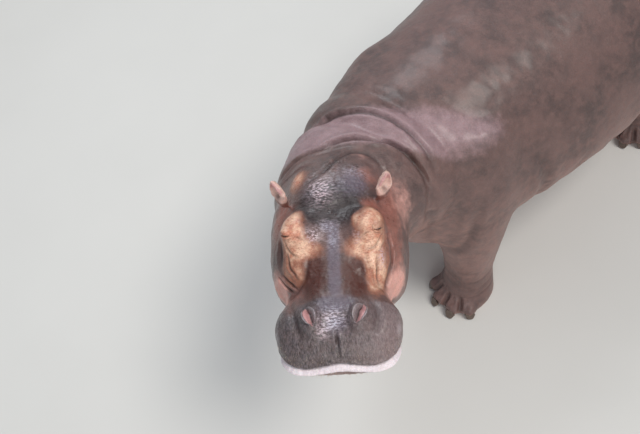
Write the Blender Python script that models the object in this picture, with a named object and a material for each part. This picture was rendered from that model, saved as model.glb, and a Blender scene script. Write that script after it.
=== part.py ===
"""Life-size standing hippopotamus, head raised and turned to its left.

The animal is blocked out from lofts and ellipsoids, fused into one body by voxel remeshing, thinned to
few faces and then parted with thin cuts into the pieces a person would name. Metres, +Z up. The trunk
lies along Y and faces -Y, so the animal's left is +X.
"""

import math

import bmesh
import bpy
import numpy as np
from mathutils import Matrix, Vector

# Driving dimensions, in metres.
EAR_BASE_HEIGHT = 1.52
HEAD_YAW = math.radians(47)
HEAD_PITCH = math.radians(4)
NECK_YAW_AT_SKULL = math.radians(23)
NECK_LENGTH = 0.62
NECK_START_Y = -0.62
SKULL_BACK = -0.15
EYE_RADIUS = 0.020
CUT = 0.0004  # clear gap between neighbouring pieces
COARSE_VOXEL = 0.016
FINE_VOXEL = 0.0105
BODY_TRIANGLES = 5000

# Trunk sections from chest to rump: distance along Y, half width, height of the back, height of the belly.
TRUNK_SECTIONS = (
    (-0.96, 0.18, 1.14, 0.76),
    (-0.90, 0.29, 1.25, 0.61),
    (-0.76, 0.39, 1.35, 0.49),
    (-0.56, 0.465, 1.40, 0.42),
    (-0.26, 0.520, 1.42, 0.36),
    (0.05, 0.555, 1.425, 0.335),
    (0.36, 0.565, 1.435, 0.325),
    (0.64, 0.530, 1.435, 0.365),
    (0.86, 0.450, 1.395, 0.47),
    (1.00, 0.34, 1.30, 0.62),
    (1.08, 0.19, 1.16, 0.80),
)
TRUNK_WIDEST = 0.44  # share of the height at which the barrel is widest

# Neck sections from shoulder to skull: share of the neck's length, half width, height above and depth
# below the neck's axis.
NECK_SECTIONS = (
    (-0.50, 0.42, 0.30, 0.36),
    (0.0, 0.435, 0.320, 0.39),
    (0.30, 0.400, 0.300, 0.385),
    (0.62, 0.350, 0.285, 0.355),
    (0.90, 0.310, 0.255, 0.320),
    (1.10, 0.275, 0.225, 0.290),
    (1.24, 0.220, 0.185, 0.245),
)
NECK_AXIS_HEIGHTS = (1.055, 1.215)  # at the shoulder and at the skull
NECK_CREASES = ((0.36, 0.028), (0.66, 0.034))  # share of the length, depth

# Head sections from nape to lips: distance forward of the ears, half width, top and bottom.
SKULL_SECTIONS = (
    (-0.26, 0.19, -0.045, -0.42),
    (-0.14, 0.205, 0.000, -0.45),
    (-0.02, 0.205, 0.012, -0.46),
    (0.08, 0.190, -0.008, -0.46),
    (0.17, 0.155, -0.035, -0.44),
    (0.26, 0.125, -0.062, -0.36),
    (0.36, 0.115, -0.078, -0.30),
    (0.46, 0.140, -0.085, -0.28),
    (0.53, 0.140, -0.110, -0.26),
)
# Cheeks: distance forward, centre to the side, half width, top and bottom.
CHEEK_SECTIONS = (
    (-0.18, 0.150, 0.090, -0.12, -0.42),
    (-0.06, 0.172, 0.104, -0.09, -0.475),
    (0.08, 0.182, 0.098, -0.08, -0.495),
    (0.18, 0.184, 0.090, -0.10, -0.465),
    (0.26, 0.180, 0.076, -0.135, -0.410),
    (0.32, 0.170, 0.046, -0.18, -0.335),
)
UPPER_LIP_SECTIONS = (
    (0.06, 0.150, -0.16, -0.34),
    (0.16, 0.185, -0.15, -0.33),
    (0.28, 0.196, -0.14, -0.30),
    (0.38, 0.208, -0.13, -0.30),
    (0.46, 0.225, -0.13, -0.31),
)
MUZZLE_SECTIONS = (
    (0.330, 0.150, -0.150, -0.290),
    (0.380, 0.205, -0.122, -0.305),
    (0.430, 0.244, -0.106, -0.315),
    (0.480, 0.250, -0.100, -0.315),
    (0.525, 0.243, -0.110, -0.308),
    (0.570, 0.226, -0.135, -0.292),
    (0.603, 0.198, -0.168, -0.272),
    (0.620, 0.150, -0.190, -0.256),
)
JAW_SECTIONS = (
    (-0.06, 0.150, -0.30, -0.49),
    (0.06, 0.195, -0.26, -0.505),
    (0.20, 0.195, -0.24, -0.475),
    (0.34, 0.185, -0.25, -0.43),
    (0.46, 0.212, -0.25, -0.408),
    (0.55, 0.218, -0.24, -0.375),
    (0.605, 0.205, -0.234, -0.334),
    (0.630, 0.165, -0.240, -0.304),
)
# Side outline of the mouth, as distance forward and height, from the lips back to its corner and down
# to the throat.
MOUTH_LINE = (
    (0.80, -0.238),
    (0.60, -0.242),
    (0.52, -0.262),
    (0.42, -0.270),
    (0.32, -0.254),
    (0.24, -0.235),
    (0.02, -0.335),
    (-0.40, -0.430),
    (-0.40, -0.900),
    (0.80, -0.900),
)

# Leg sections from hip to sole: height, distance along Y, half width, half length.
FRONT_LEG_SECTIONS = (
    (0.98, -0.58, 0.12, 0.18),
    (0.76, -0.60, 0.165, 0.205),
    (0.58, -0.61, 0.160, 0.185),
    (0.44, -0.615, 0.145, 0.160),
    (0.30, -0.62, 0.126, 0.136),
    (0.18, -0.625, 0.116, 0.124),
    (0.11, -0.635, 0.126, 0.134),
    (0.05, -0.645, 0.140, 0.148),
    (-0.03, -0.648, 0.141, 0.150),
)
REAR_LEG_SECTIONS = (
    (1.02, 0.66, 0.12, 0.23),
    (0.82, 0.64, 0.175, 0.285),
    (0.64, 0.62, 0.170, 0.245),
    (0.50, 0.64, 0.146, 0.190),
    (0.38, 0.675, 0.122, 0.150),
    (0.28, 0.69, 0.110, 0.130),
    (0.18, 0.68, 0.106, 0.118),
    (0.11, 0.665, 0.114, 0.126),
    (0.05, 0.65, 0.128, 0.142),
    (-0.03, 0.647, 0.129, 0.144),
)
LEG_SPREAD = {"front": 0.315, "rear": 0.305}
STEPS = {
    ("front", "left"): -0.05,
    ("front", "right"): 0.04,
    ("rear", "left"): 0.07,
    ("rear", "right"): -0.05,
}
TOE_ANGLES = (-58, -20, 20, 58)
SIDES = {"left": 1, "right": -1}

WITHERS = (0, -0.66, 1.42)  # where the back meets the neck
LEG_CELLS = {  # top of the cell at its inner and outer side, then its start and end along Y
    "front": (0.44, 0.80, -0.86, -0.40),
    "rear": (0.44, 0.86, 0.38, 0.92),
}
TAIL_PLANE_Y = 1.095

HIDE = (0.150, 0.092, 0.078)
HORN = (0.20, 0.155, 0.125)
EYE = (0.030, 0.016, 0.010)


def clear_scene():
    for obj in list(bpy.data.objects):
        bpy.data.objects.remove(obj)


def material(name, colour, roughness):
    made = bpy.data.materials.new(name)
    made.use_nodes = True
    shader = made.node_tree.nodes["Principled BSDF"]
    shader.inputs["Base Color"].default_value = (*colour, 1)
    shader.inputs["Roughness"].default_value = roughness
    return made


def new_object(name, mesh):
    obj = bpy.data.objects.new(name, mesh)
    bpy.context.scene.collection.objects.link(obj)
    return obj


def between(sections, count):
    """The sections joined by a Catmull-Rom curve, read at count even places."""
    table = np.array(sections, float)
    padded = np.vstack([2 * table[0] - table[1], table, 2 * table[-1] - table[-2]])
    rows = []
    for place in np.linspace(0, len(table) - 1, count):
        i = min(int(place), len(table) - 2)
        t = place - i
        a, b, c, d = padded[i : i + 4]
        rows.append(
            0.5 * (2 * b + (c - a) * t + (2 * a - 5 * b + 4 * c - d) * t**2 + (3 * b - a - 3 * c + d) * t**3)
        )
    return rows


def ring(centre, across, up, half_width, above, below, squareness=2.0, count=36):
    """A closed superellipse whose upper and lower halves may differ in height."""
    points = []
    for i in range(count):
        angle = math.tau * i / count
        c, s = math.cos(angle), math.sin(angle)
        sideways = math.copysign(abs(c) ** (2 / squareness), c) * half_width
        upwards = math.copysign(abs(s) ** (2 / squareness), s) * (above if s > 0 else below)
        points.append(Vector(centre) + Vector(across) * sideways + Vector(up) * upwards)
    return points


def loft(name, rings):
    """A closed tube through rings of equal counts, with flat ends."""
    mesh = bpy.data.meshes.new(name)
    shape = bmesh.new()
    loops = [[shape.verts.new(point) for point in points] for points in rings]
    for near, far in zip(loops, loops[1:]):
        for i in range(len(near)):
            j = (i + 1) % len(near)
            shape.faces.new((near[i], near[j], far[j], far[i]))
    shape.faces.new(loops[0][::-1])
    shape.faces.new(loops[-1])
    bmesh.ops.recalc_face_normals(shape, faces=shape.faces)
    shape.to_mesh(mesh)
    shape.free()
    return new_object(name, mesh)


def ellipsoid(name, centre, radii, turn=None, frame=None, segments=24):
    """A ball stretched to three radii, turned and placed in a frame."""
    shape = bmesh.new()
    bmesh.ops.create_uvsphere(shape, u_segments=segments, v_segments=segments // 2, radius=1)
    place = Matrix.Translation(centre) @ (turn or Matrix.Identity(4)) @ Matrix.Diagonal((*radii, 1))
    shape.transform((frame or Matrix.Identity(4)) @ place)
    mesh = bpy.data.meshes.new(name)
    shape.to_mesh(mesh)
    shape.free()
    return new_object(name, mesh)


def applied(obj):
    """Replaces the object's mesh with the mesh its modifiers make."""
    graph = bpy.context.evaluated_depsgraph_get()
    mesh = bpy.data.meshes.new_from_object(obj.evaluated_get(graph))
    obj.modifiers.clear()
    obj.data = mesh
    return obj


def joined(name, objects):
    """One object holding the meshes of all, which are removed."""
    shape = bmesh.new()
    for obj in objects:
        shape.from_mesh(obj.data)
        bpy.data.objects.remove(obj)
    mesh = bpy.data.meshes.new(name)
    shape.to_mesh(mesh)
    shape.free()
    return new_object(name, mesh)


def fused(name, objects, voxel, smoothing):
    """The union of overlapping closed shapes, with its inner corners rounded by smoothing."""
    obj = joined(name, objects)
    remesh = obj.modifiers.new("fuse", "REMESH")
    remesh.mode = "VOXEL"
    remesh.voxel_size = voxel
    if smoothing:
        smooth = obj.modifiers.new("round", "SMOOTH")
        smooth.factor = 0.5
        smooth.iterations = smoothing
    return applied(obj)


def trunk():
    rings = []
    for along, half_width, back, belly in between(TRUNK_SECTIONS, 40):
        height = back - belly
        centre = (0, along, belly + TRUNK_WIDEST * height)
        rings.append(
            ring(centre, (1, 0, 0), (0, 0, 1), half_width, (1 - TRUNK_WIDEST) * height,
                 TRUNK_WIDEST * height, squareness=2.15)
        )
    return loft("trunk_form", rings)


def neck_axis(share):
    """Centre and heading of the neck's axis, an arc that turns left from the shoulder to the skull."""
    radius = NECK_LENGTH / NECK_YAW_AT_SKULL
    yaw = NECK_YAW_AT_SKULL * share
    low, high = NECK_AXIS_HEIGHTS
    centre = Vector(
        (radius * (1 - math.cos(yaw)), NECK_START_Y - radius * math.sin(yaw), low + (high - low) * share)
    )
    rise = (high - low) / NECK_LENGTH
    forward = Vector((math.sin(yaw), -math.cos(yaw), rise)).normalized()
    return centre, forward


def neck():
    rings = []
    for share, half_width, above, below in between(NECK_SECTIONS, 40):
        centre, forward = neck_axis(share)
        across = Vector((0, 0, 1)).cross(forward).normalized()
        up = forward.cross(across)
        rings.append(ring(centre, across, up, half_width, above, below, 2.1))
    return loft("neck_form", rings)


def head_frame():
    """Places head coordinates, x left, y backward and z up from between the ears, in the world."""
    skull_joint, _ = neck_axis(1.0)
    turn = Matrix.Rotation(HEAD_YAW, 4, "Z") @ Matrix.Rotation(-HEAD_PITCH, 4, "X")
    ahead = turn @ Vector((0, SKULL_BACK, 0))
    place = Vector((skull_joint.x + ahead.x, skull_joint.y + ahead.y, EAR_BASE_HEIGHT))
    return Matrix.Translation(place) @ turn


def head_loft(name, sections, frame, squareness, widest=0.5):
    """A loft forward along the head; a section may start with its centre's distance to the side."""
    rings = []
    for forward, *aside, half_width, top, bottom in between(sections, 26):
        height = top - bottom
        centre = (aside[0] if aside else 0, -forward, bottom + widest * height)
        points = ring(centre, (1, 0, 0), (0, 0, 1), half_width, (1 - widest) * height, widest * height,
                      squareness)
        rings.append([frame @ point for point in points])
    return loft(name, rings)


def head_main_forms(frame):
    """Skull and bridge of the nose, cheeks, upper lips, lower jaw and muzzle."""
    forms = [
        head_loft("skull_form", SKULL_SECTIONS, frame, 2.5, widest=0.55),
        head_loft("lip_form", UPPER_LIP_SECTIONS, frame, 2.4),
        head_loft("jaw_form", JAW_SECTIONS, frame, 2.5, widest=0.6),
        head_loft("muzzle_form", MUZZLE_SECTIONS, frame, 2.6, widest=0.45),
    ]
    for side in SIDES.values():
        sections = [(at, side * aside, *rest) for at, aside, *rest in CHEEK_SECTIONS]
        forms.append(head_loft("cheek_form", sections, frame, 2.2))
        forms.append(ellipsoid("eye_turret", (side * 0.132, -0.125, -0.048), (0.080, 0.085, 0.074), frame=frame))
        forms.append(ellipsoid("under_eye", (side * 0.130, -0.215, -0.142), (0.080, 0.110, 0.080), frame=frame))
    return forms


def head_pads(frame):
    """Nostril mounds and upper eyelids."""
    forms = []
    for side in SIDES.values():
        forms += [
            ellipsoid("nostril", (side * 0.088, -0.500, -0.112), (0.046, 0.058, 0.056), frame=frame),
            ellipsoid("eyelid", (side * 0.158, -0.145, -0.024), (0.040, 0.048, 0.040), frame=frame),
        ]
    return forms


def leg(pair, side):
    sections = FRONT_LEG_SECTIONS if pair == "front" else REAR_LEG_SECTIONS
    step = STEPS[pair, side]
    rings = []
    for height, along, half_width, half_length in between(sections, 34):
        low = 1 - min(1, max(0, height) / 0.75)
        centre = (SIDES[side] * LEG_SPREAD[pair], along + step * low, height)
        rings.append(ring(centre, (1, 0, 0), (0, -1, 0), half_width, half_length, half_length, 2.2))
    return loft("leg_form", rings)


def foot_places():
    """Pair, side and the centre of each sole."""
    for pair, sections in (("front", FRONT_LEG_SECTIONS), ("rear", REAR_LEG_SECTIONS)):
        for side, sign in SIDES.items():
            sole = sections[-2]
            yield pair, side, Vector((sign * LEG_SPREAD[pair], sole[1] + STEPS[pair, side], 0)), sole


def toe_place(centre, sole, angle):
    """A toe's frame: on the rim of the sole, its y axis pointing outwards."""
    turn = math.radians(angle)
    _, _, half_width, half_length = sole
    rim = Vector((math.sin(turn) * half_width * 0.80, -math.cos(turn) * half_length * 0.84, 0))
    return Matrix.Translation(centre + rim) @ Matrix.Rotation(math.pi + turn * 0.72, 4, "Z")


def toes():
    forms = []
    for _, _, centre, sole in foot_places():
        for angle in TOE_ANGLES:
            frame = toe_place(centre, sole, angle)
            forms.append(ellipsoid("toe", (0, 0.012, 0.042), (0.041, 0.060, 0.046), frame=frame))
    return forms


def muscles():
    """Shoulders, haunches and chest, which swell the barrel of the trunk."""
    forms = [ellipsoid("chest", (0, -0.78, 0.74), (0.33, 0.22, 0.28))]
    for side in SIDES.values():
        forms += [
            ellipsoid("shoulder", (side * 0.325, -0.56, 0.90), (0.170, 0.26, 0.40)),
            ellipsoid("haunch", (side * 0.310, 0.66, 0.92), (0.20, 0.34, 0.40)),
        ]
    return forms


def tail():
    rings = []
    for height, along, half_width, half_length in between(
        ((1.20, 0.98, 0.07, 0.06), (1.13, 1.075, 0.062, 0.052), (1.02, 1.145, 0.050, 0.038),
         (0.88, 1.172, 0.043, 0.027), (0.76, 1.178, 0.037, 0.021), (0.70, 1.177, 0.026, 0.015)), 22):
        rings.append(ring((0, along, height), (1, 0, 0), (0, -1, 0), half_width, half_length, half_length, count=20))
    return loft("tail_form", rings)


def crease_neck(body):
    """Presses the creases between the neck's rolls of fat, deepest along its top."""
    mesh = body.data
    places = np.empty(len(mesh.vertices) * 3)
    normals = np.empty(len(mesh.vertices) * 3)
    mesh.vertices.foreach_get("co", places)
    mesh.vertices.foreach_get("normal", normals)
    places = places.reshape(-1, 3)
    normals = normals.reshape(-1, 3)
    shares = np.linspace(-0.1, 1.2, 66)
    axis = [neck_axis(share) for share in shares]
    centres = np.array([centre for centre, _ in axis])
    forwards = np.array([forward for _, forward in axis])
    near_neck = places[:, 1] < NECK_START_Y
    found = places[near_neck]
    nearest = np.array([int(np.argmin(((centres - place) ** 2).sum(1))) for place in found])
    offset = found - centres[nearest]
    share = shares[nearest] + (offset * forwards[nearest]).sum(1) / NECK_LENGTH
    dip = sum(depth * np.exp(-(((share - at) / 0.045) ** 2)) for at, depth in NECK_CREASES)
    strength = np.clip(0.6 + 1.6 * offset[:, 2], 0.2, 1)
    places[near_neck] -= normals[near_neck] * (dip * strength)[:, None]
    mesh.vertices.foreach_set("co", places.ravel())
    mesh.update()


def prism(name, outline, low, high, frame, axis):
    """A closed prism: an outline in the plane across an axis of the frame, from low to high along it."""
    rings = []
    for level in (low, high):
        points = []
        for a, b in outline:
            place = (level, a, b) if axis == "X" else (a, level, b)
            points.append(frame @ Vector(place))
        rings.append(points)
    return loft(name, rings)


def grown(source, margin):
    """A copy of a faceted cell with every face moved outwards by the margin."""
    mesh = source.data.copy()
    shape = bmesh.new()
    shape.from_mesh(mesh)
    shape.normal_update()
    moves = []
    for vertex in shape.verts:
        faces = np.array([face.normal for face in vertex.link_faces])
        moves.append(np.linalg.pinv(faces, rcond=1e-3) @ np.full(len(faces), margin))
    for vertex, move in zip(shape.verts, moves):
        vertex.co += Vector(move)
    shape.to_mesh(mesh)
    shape.free()
    return new_object(source.name + "_grown", mesh)


def swollen(source, margin):
    """A copy of a smooth body with its surface moved outwards by the margin."""
    mesh = source.data.copy()
    normals = [vertex.normal.copy() for vertex in mesh.vertices]
    for vertex, normal in zip(mesh.vertices, normals):
        vertex.co += normal * margin
    return new_object(source.name + "_swollen", mesh)


def carve(obj, cutter, operation="DIFFERENCE"):
    """Cuts or intersects the object with a cutter, which is removed."""
    modifier = obj.modifiers.new("carve", "BOOLEAN")
    modifier.operation = operation
    modifier.solver = "EXACT"
    modifier.object = cutter
    applied(obj)
    bpy.data.objects.remove(cutter)
    return largest_shell(obj)


def largest_shell(obj):
    """Keeps the largest closed shell of the object and drops crumbs."""
    shape = bmesh.new()
    shape.from_mesh(obj.data)
    bmesh.ops.remove_doubles(shape, verts=shape.verts, dist=1e-6)
    unseen = set(shape.verts)
    shells = []
    while unseen:
        stack = [unseen.pop()]
        shell = set(stack)
        while stack:
            for edge in stack.pop().link_edges:
                for other in edge.verts:
                    if other in unseen:
                        unseen.remove(other)
                        shell.add(other)
                        stack.append(other)
        shells.append(shell)
    keep = max(shells, key=len)
    bmesh.ops.delete(shape, geom=[vertex for vertex in shape.verts if vertex not in keep], context="VERTS")
    shape.to_mesh(obj.data)
    shape.free()
    return obj


def parted(body, cell, name):
    """Splits the piece inside a cell off the body, leaving a thin gap between them."""
    piece = new_object(name, body.data.copy())
    rest_cutter = grown(cell, CUT)
    carve(piece, cell, "INTERSECT")
    carve(body, rest_cutter)
    return piece


def thinned(body, frame):
    """Reduces the body to few triangles, keeping most of them on the head and feet."""
    group = body.vertex_groups.new(name="coarse")
    inverse = frame.inverted()
    for vertex in body.data.vertices:
        place = inverse @ vertex.co
        on_head = place.y < 0.12 and place.z > -0.62
        if on_head:
            weight = 0.12 if place.z > -0.34 else 0.45
        elif vertex.co.z < 0.12 or vertex.co.y > TAIL_PLANE_Y:
            weight = 0.40
        elif vertex.co.y < NECK_START_Y - 0.1 and vertex.co.z > 0.9:
            weight = 0.55
        else:
            weight = 0.85
        group.add([vertex.index], weight, "REPLACE")
    decimate = body.modifiers.new("thin", "DECIMATE")
    decimate.ratio = BODY_TRIANGLES / sum(len(face.vertices) - 2 for face in body.data.polygons)
    decimate.vertex_group = group.name
    decimate.vertex_group_factor = 1.0
    decimate.use_collapse_triangulate = True
    applied(body)
    body.vertex_groups.clear()
    return body


def surface_point(body, origin, direction):
    """Where a ray from outside first meets the body."""
    hit, place, _, _ = body.ray_cast(origin, direction)
    assert hit, "the ray meets the body"
    return place


def eyes(body, frame):
    """Eyeballs sunk in sockets, each showing its outer side below the upper lid."""
    made = []
    for side, sign in SIDES.items():
        inward = (frame.to_3x3() @ Vector((-sign * 0.80, 0.45, -0.28))).normalized()
        aim = frame @ Vector((sign * 0.160, -0.150, -0.012))
        rim = surface_point(body, aim - inward * 0.3, inward)
        centre = rim + inward * (EYE_RADIUS * 0.72)
        made.append(ellipsoid(f"eye_{side}", centre, (EYE_RADIUS,) * 3, segments=12))
        carve(body, ellipsoid("socket", centre, (EYE_RADIUS + CUT,) * 3, segments=12))
    return made


def nostrils(body, frame):
    """Slanting slits in the nostril mounds."""
    for sign in SIDES.values():
        turn = Matrix.Rotation(-sign * math.radians(20), 4, "Z") @ Matrix.Rotation(math.radians(-25), 4, "X")
        carve(body, ellipsoid("slit", (sign * 0.092, -0.506, -0.060), (0.009, 0.027, 0.020), turn, frame, 10))


def ear(side, flesh, frame):
    """A small cupped ear on its stem, opening forwards and outwards."""
    sign = SIDES[side]
    lean = Matrix.Rotation(sign * math.radians(17), 4, "Y") @ Matrix.Rotation(math.radians(-20), 4, "X")
    turn = Matrix.Rotation(sign * math.radians(38), 4, "Z")
    place = frame @ Matrix.Translation((sign * 0.200, 0.012, -0.024)) @ lean @ turn
    shell = joined("shell", [
        ellipsoid("leaf", (0, 0, 0.058), (0.038, 0.021, 0.047)),
        ellipsoid("stem", (0, 0.002, 0.008), (0.025, 0.021, 0.040)),
    ])
    remesh = shell.modifiers.new("fuse", "REMESH")
    remesh.mode = "VOXEL"
    remesh.voxel_size = 0.0035
    applied(shell)
    carve(shell, ellipsoid("hollow", (0, -0.021, 0.062), (0.028, 0.024, 0.038), segments=20))
    smooth = shell.modifiers.new("round", "SMOOTH")
    smooth.iterations = 4
    thin = shell.modifiers.new("thin", "DECIMATE")
    thin.ratio = 200 / sum(len(face.vertices) - 2 for face in shell.data.polygons)
    applied(shell)
    shell.data.transform(place)
    shell.name = f"ear_{side}"
    return carve(shell, swollen(flesh, CUT))


def nails(flesh):
    """Short hoof-like nails on the fronts of the toes."""
    made = []
    for pair, side, centre, sole in foot_places():
        for number, angle in enumerate(TOE_ANGLES, 1):
            frame = toe_place(centre, sole, angle)
            nail = ellipsoid(f"nail_{pair}_{side}_{number}", (0, 0.056, 0.031), (0.027, 0.024, 0.028),
                             frame=frame, segments=8)
            made.append(carve(nail, swollen(flesh, CUT)))
    return made


def ahead_of(point, normal):
    """A large box whose near face passes through the point, square to the normal."""
    normal = Vector(normal).normalized()
    across = Vector((0, 0, 1)).cross(normal).normalized()
    frame = Matrix((across, normal, across.cross(normal))).transposed().to_4x4()
    frame.translation = Vector(point)
    return prism("cell", ((-2, -2), (2, -2), (2, 2), (-2, 2)), 0, 3, frame, "Y")


def leg_cell(pair, side):
    """A cell around a leg, with a top that rises outwards to the elbow or the knee."""
    sign = SIDES[side]
    inner, outer, start, end = LEG_CELLS[pair]
    outline = ((sign * 0.14, -0.5), (sign * 0.80, -0.5), (sign * 0.80, outer), (sign * 0.14, inner))
    return prism("cell", outline, start, end, Matrix.Identity(4), "Y")


def pieces(body, frame):
    """The body parted into the pieces a person would name."""
    made = []
    skull_joint, heading = neck_axis(0.98)
    head_piece = parted(body, ahead_of(skull_joint, (heading.x, heading.y, 0.12)), "head")
    jaw_cell = prism("cell", [(-forward, height) for forward, height in MOUTH_LINE], -0.6, 0.6, frame, "X")
    made += [head_piece, parted(head_piece, jaw_cell, "lower_jaw")]
    made.append(parted(body, ahead_of(WITHERS, (0.08, -0.90, 0.44)), "neck"))
    for pair in ("front", "rear"):
        for side in SIDES:
            made.append(parted(body, leg_cell(pair, side), f"leg_{pair}_{side}"))
    tail_outline = ((-0.10, 0.5), (0.10, 0.5), (0.10, 1.3), (-0.10, 1.3))
    made.append(parted(body, prism("cell", tail_outline, TAIL_PLANE_Y, 1.6, Matrix.Identity(4), "Y"), "tail"))
    body.name = "trunk"
    return [body, *made]


def finish_piece(obj, made):
    """Gives the piece its material and rounds its shading, apart from sharp edges."""
    obj.data.materials.clear()
    obj.data.materials.append(made)
    for face in obj.data.polygons:
        face.material_index = 0
    obj.data.shade_smooth()
    obj.data.set_sharp_from_angle(angle=math.radians(50))


def set_origin(objects):
    """Moves everything so that the origin is the centre of the bounding box's underside."""
    corners = np.array([vertex.co for obj in objects for vertex in obj.data.vertices])
    low, high = corners.min(0), corners.max(0)
    shift = Vector((-(low[0] + high[0]) / 2, -(low[1] + high[1]) / 2, -low[2]))
    for obj in objects:
        obj.data.transform(Matrix.Translation(shift))
    return shift


clear_scene()
hide = material("hide", HIDE, 0.45)
horn = material("horn", HORN, 0.5)
eye_gloss = material("eye_gloss", EYE, 0.1)

head = head_frame()
masses = [trunk(), neck(), *muscles(), *head_main_forms(head)]
masses += [leg(pair, side) for pair in ("front", "rear") for side in SIDES]
body = fused("masses", masses, COARSE_VOXEL, 12)
body = fused("body", [body, *head_pads(head), *toes(), tail()], FINE_VOXEL, 8)
crease_neck(body)
thinned(body, head)
floor_outline = ((-3, -1), (3, -1), (3, 0), (-3, 0))
carve(body, prism("floor_cut", floor_outline, -3, 3, Matrix.Identity(4), "Y"))
nostrils(body, head)
eyeballs = eyes(body, head)
flesh = new_object("flesh", body.data.copy())
ears = [ear(side, flesh, head) for side in SIDES]
nail_pieces = nails(flesh)
bpy.data.objects.remove(flesh)
flesh_pieces = pieces(body, head)
for obj in flesh_pieces + ears:
    finish_piece(obj, hide)
for obj in nail_pieces:
    finish_piece(obj, horn)
for obj in eyeballs:
    finish_piece(obj, eye_gloss)
shift = set_origin(flesh_pieces + ears + nail_pieces + eyeballs)
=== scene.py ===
"""Looks of the standing hippopotamus: one wet, creased hide, with its eyes, nails and bristles.

Head coordinates run x to the animal's left, y backward and z up, in metres, from between the ears.
Body coordinates are the world's, with x counted outward from the middle of the trunk. The folds
and the patches of tone are listed in millimetres.
"""

import math
import random

import bmesh
import bpy
import numpy as np
from mathutils import Matrix, Vector, noise
from mathutils.bvhtree import BVHTree
from mathutils.kdtree import KDTree


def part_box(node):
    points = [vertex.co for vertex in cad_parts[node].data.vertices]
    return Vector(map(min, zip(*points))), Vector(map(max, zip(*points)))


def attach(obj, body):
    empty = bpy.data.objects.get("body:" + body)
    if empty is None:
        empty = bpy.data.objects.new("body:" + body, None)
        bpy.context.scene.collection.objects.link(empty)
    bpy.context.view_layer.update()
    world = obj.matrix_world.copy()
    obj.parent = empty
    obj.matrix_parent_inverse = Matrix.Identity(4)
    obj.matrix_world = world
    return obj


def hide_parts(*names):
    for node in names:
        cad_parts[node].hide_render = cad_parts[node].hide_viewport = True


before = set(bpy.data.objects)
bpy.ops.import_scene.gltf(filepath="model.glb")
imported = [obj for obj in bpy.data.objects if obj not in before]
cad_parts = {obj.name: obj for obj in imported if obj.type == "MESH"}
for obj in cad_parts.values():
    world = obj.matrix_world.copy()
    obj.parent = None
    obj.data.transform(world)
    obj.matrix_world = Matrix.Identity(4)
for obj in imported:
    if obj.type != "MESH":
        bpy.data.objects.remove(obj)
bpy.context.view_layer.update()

FLESH = (
    "trunk", "neck", "head", "lower_jaw", "tail", "ear_left", "ear_right",
    "leg_front_left", "leg_front_right", "leg_rear_left", "leg_rear_right",
)
SIDES = {"left": 1, "right": -1}
HEAD_PITCH = math.radians(4)
EYE_IN_HEAD = Vector((0.1727, -0.1571, -0.0076))
GAZE = Vector((0.724, -0.611, 0.319))  # the way the left eye looks
LID_AXIS = Vector((0.686, 0.686, -0.25))  # from the left eye's inner corner to its outer one
EAR_BASE = Vector((0.2, 0.012, -0.024))
EAR_LEAN = (17, -20, 38)  # degrees about y, x and z, for the left ear
NAIL_TURNS = (-42, -14, 14, 42)  # degrees each nail's front is turned from straight ahead
SKIN_VOXEL = 0.009
NAIL_VOXEL = 0.0022
PATCH = 0.003  # side of each bristle's square on its OFBake map
GROWTH = 0.002  # closes the thin cuts between the solids before they are fused

# The mouth's line: distance forward from the ears, and height.
MOUTH_LINE = (
    (0.24, -0.235), (0.32, -0.254), (0.42, -0.27), (0.52, -0.262), (0.6, -0.24), (0.64, -0.236),
)
BRISTLE_SIDES = 4
BRISTLE_RINGS = 3
BRISTLE_RADIUS = 0.00045
BRISTLE_DEPTH = 0.001  # how far each bristle's root lies under the skin
LIP_BRISTLES = 260
EAR_BRISTLES = 420
TAIL_BRISTLES = 320
TAIL_BRISTLE_RADIUS = 0.0006
TAIL_TUFT = 0.18  # height of the bristles' stretch on the tail
FLOOR_REACH = 90
WORLD_LIGHT = 0.42
SUN_POWER = 1.75
SUN_SPREAD = math.radians(25)

# Camera and lights, placed in head coordinates.
CAMERA_LENS = 60
CAMERA_AZIMUTH = 10.7
CAMERA_ELEVATION = 52.75
CAMERA_ROLL = -13.14
CAMERA_PLACE = Vector((0.422, -2.563, 3.302))
SUN_FROM = Vector((0.46, -0.26, 0.86))
SKY_PLACE = Vector((-0.7, 2.6, 3.0))
FILL_PLACE = Vector((0.6, -2.8, 0.2))


def centre_of(node):
    low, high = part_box(node)
    return (Vector(low) + Vector(high)) / 2


def head_frame():
    """Places head coordinates in the world, from the two eyes."""
    left = centre_of("eye_left")
    right = centre_of("eye_right")
    yaw = math.atan2(left.y - right.y, left.x - right.x)
    turn = Matrix.Rotation(yaw, 4, "Z") @ Matrix.Rotation(-HEAD_PITCH, 4, "X")
    between_eyes = Vector((0, EYE_IN_HEAD.y, EYE_IN_HEAD.z))
    return Matrix.Translation((left + right) / 2 - turn @ between_eyes) @ turn


HEAD = head_frame()
HEAD_YAW = math.atan2(HEAD[1][0], HEAD[0][0])
EYE_RADIUS = (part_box("eye_left")[1][2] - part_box("eye_left")[0][2]) / 2
MIDDLE_X = centre_of("trunk").x


# Meshes


def new_object(name, data):
    obj = bpy.data.objects.new(name, data)
    bpy.context.scene.collection.objects.link(obj)
    return obj


def applied(obj):
    """Replaces the object's mesh with the mesh its modifiers make."""
    graph = bpy.context.evaluated_depsgraph_get()
    mesh = bpy.data.meshes.new_from_object(obj.evaluated_get(graph))
    obj.modifiers.clear()
    obj.data = mesh
    return obj


def read_vectors(items, name):
    values = np.empty(len(items) * 3)
    items.foreach_get(name, values)
    return values.reshape(-1, 3)


def places_of(mesh):
    return read_vectors(mesh.vertices, "co")


def write_places(mesh, places):
    mesh.vertices.foreach_set("co", np.ascontiguousarray(places, dtype=np.float32).ravel())
    mesh.update()


def carried(matrix, places):
    """The places as the matrix moves them."""
    table = np.array(matrix)
    return places @ table[:3, :3].T + table[:3, 3]


def in_head(places):
    """World places in head coordinates."""
    return carried(HEAD.inverted(), places)


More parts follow.
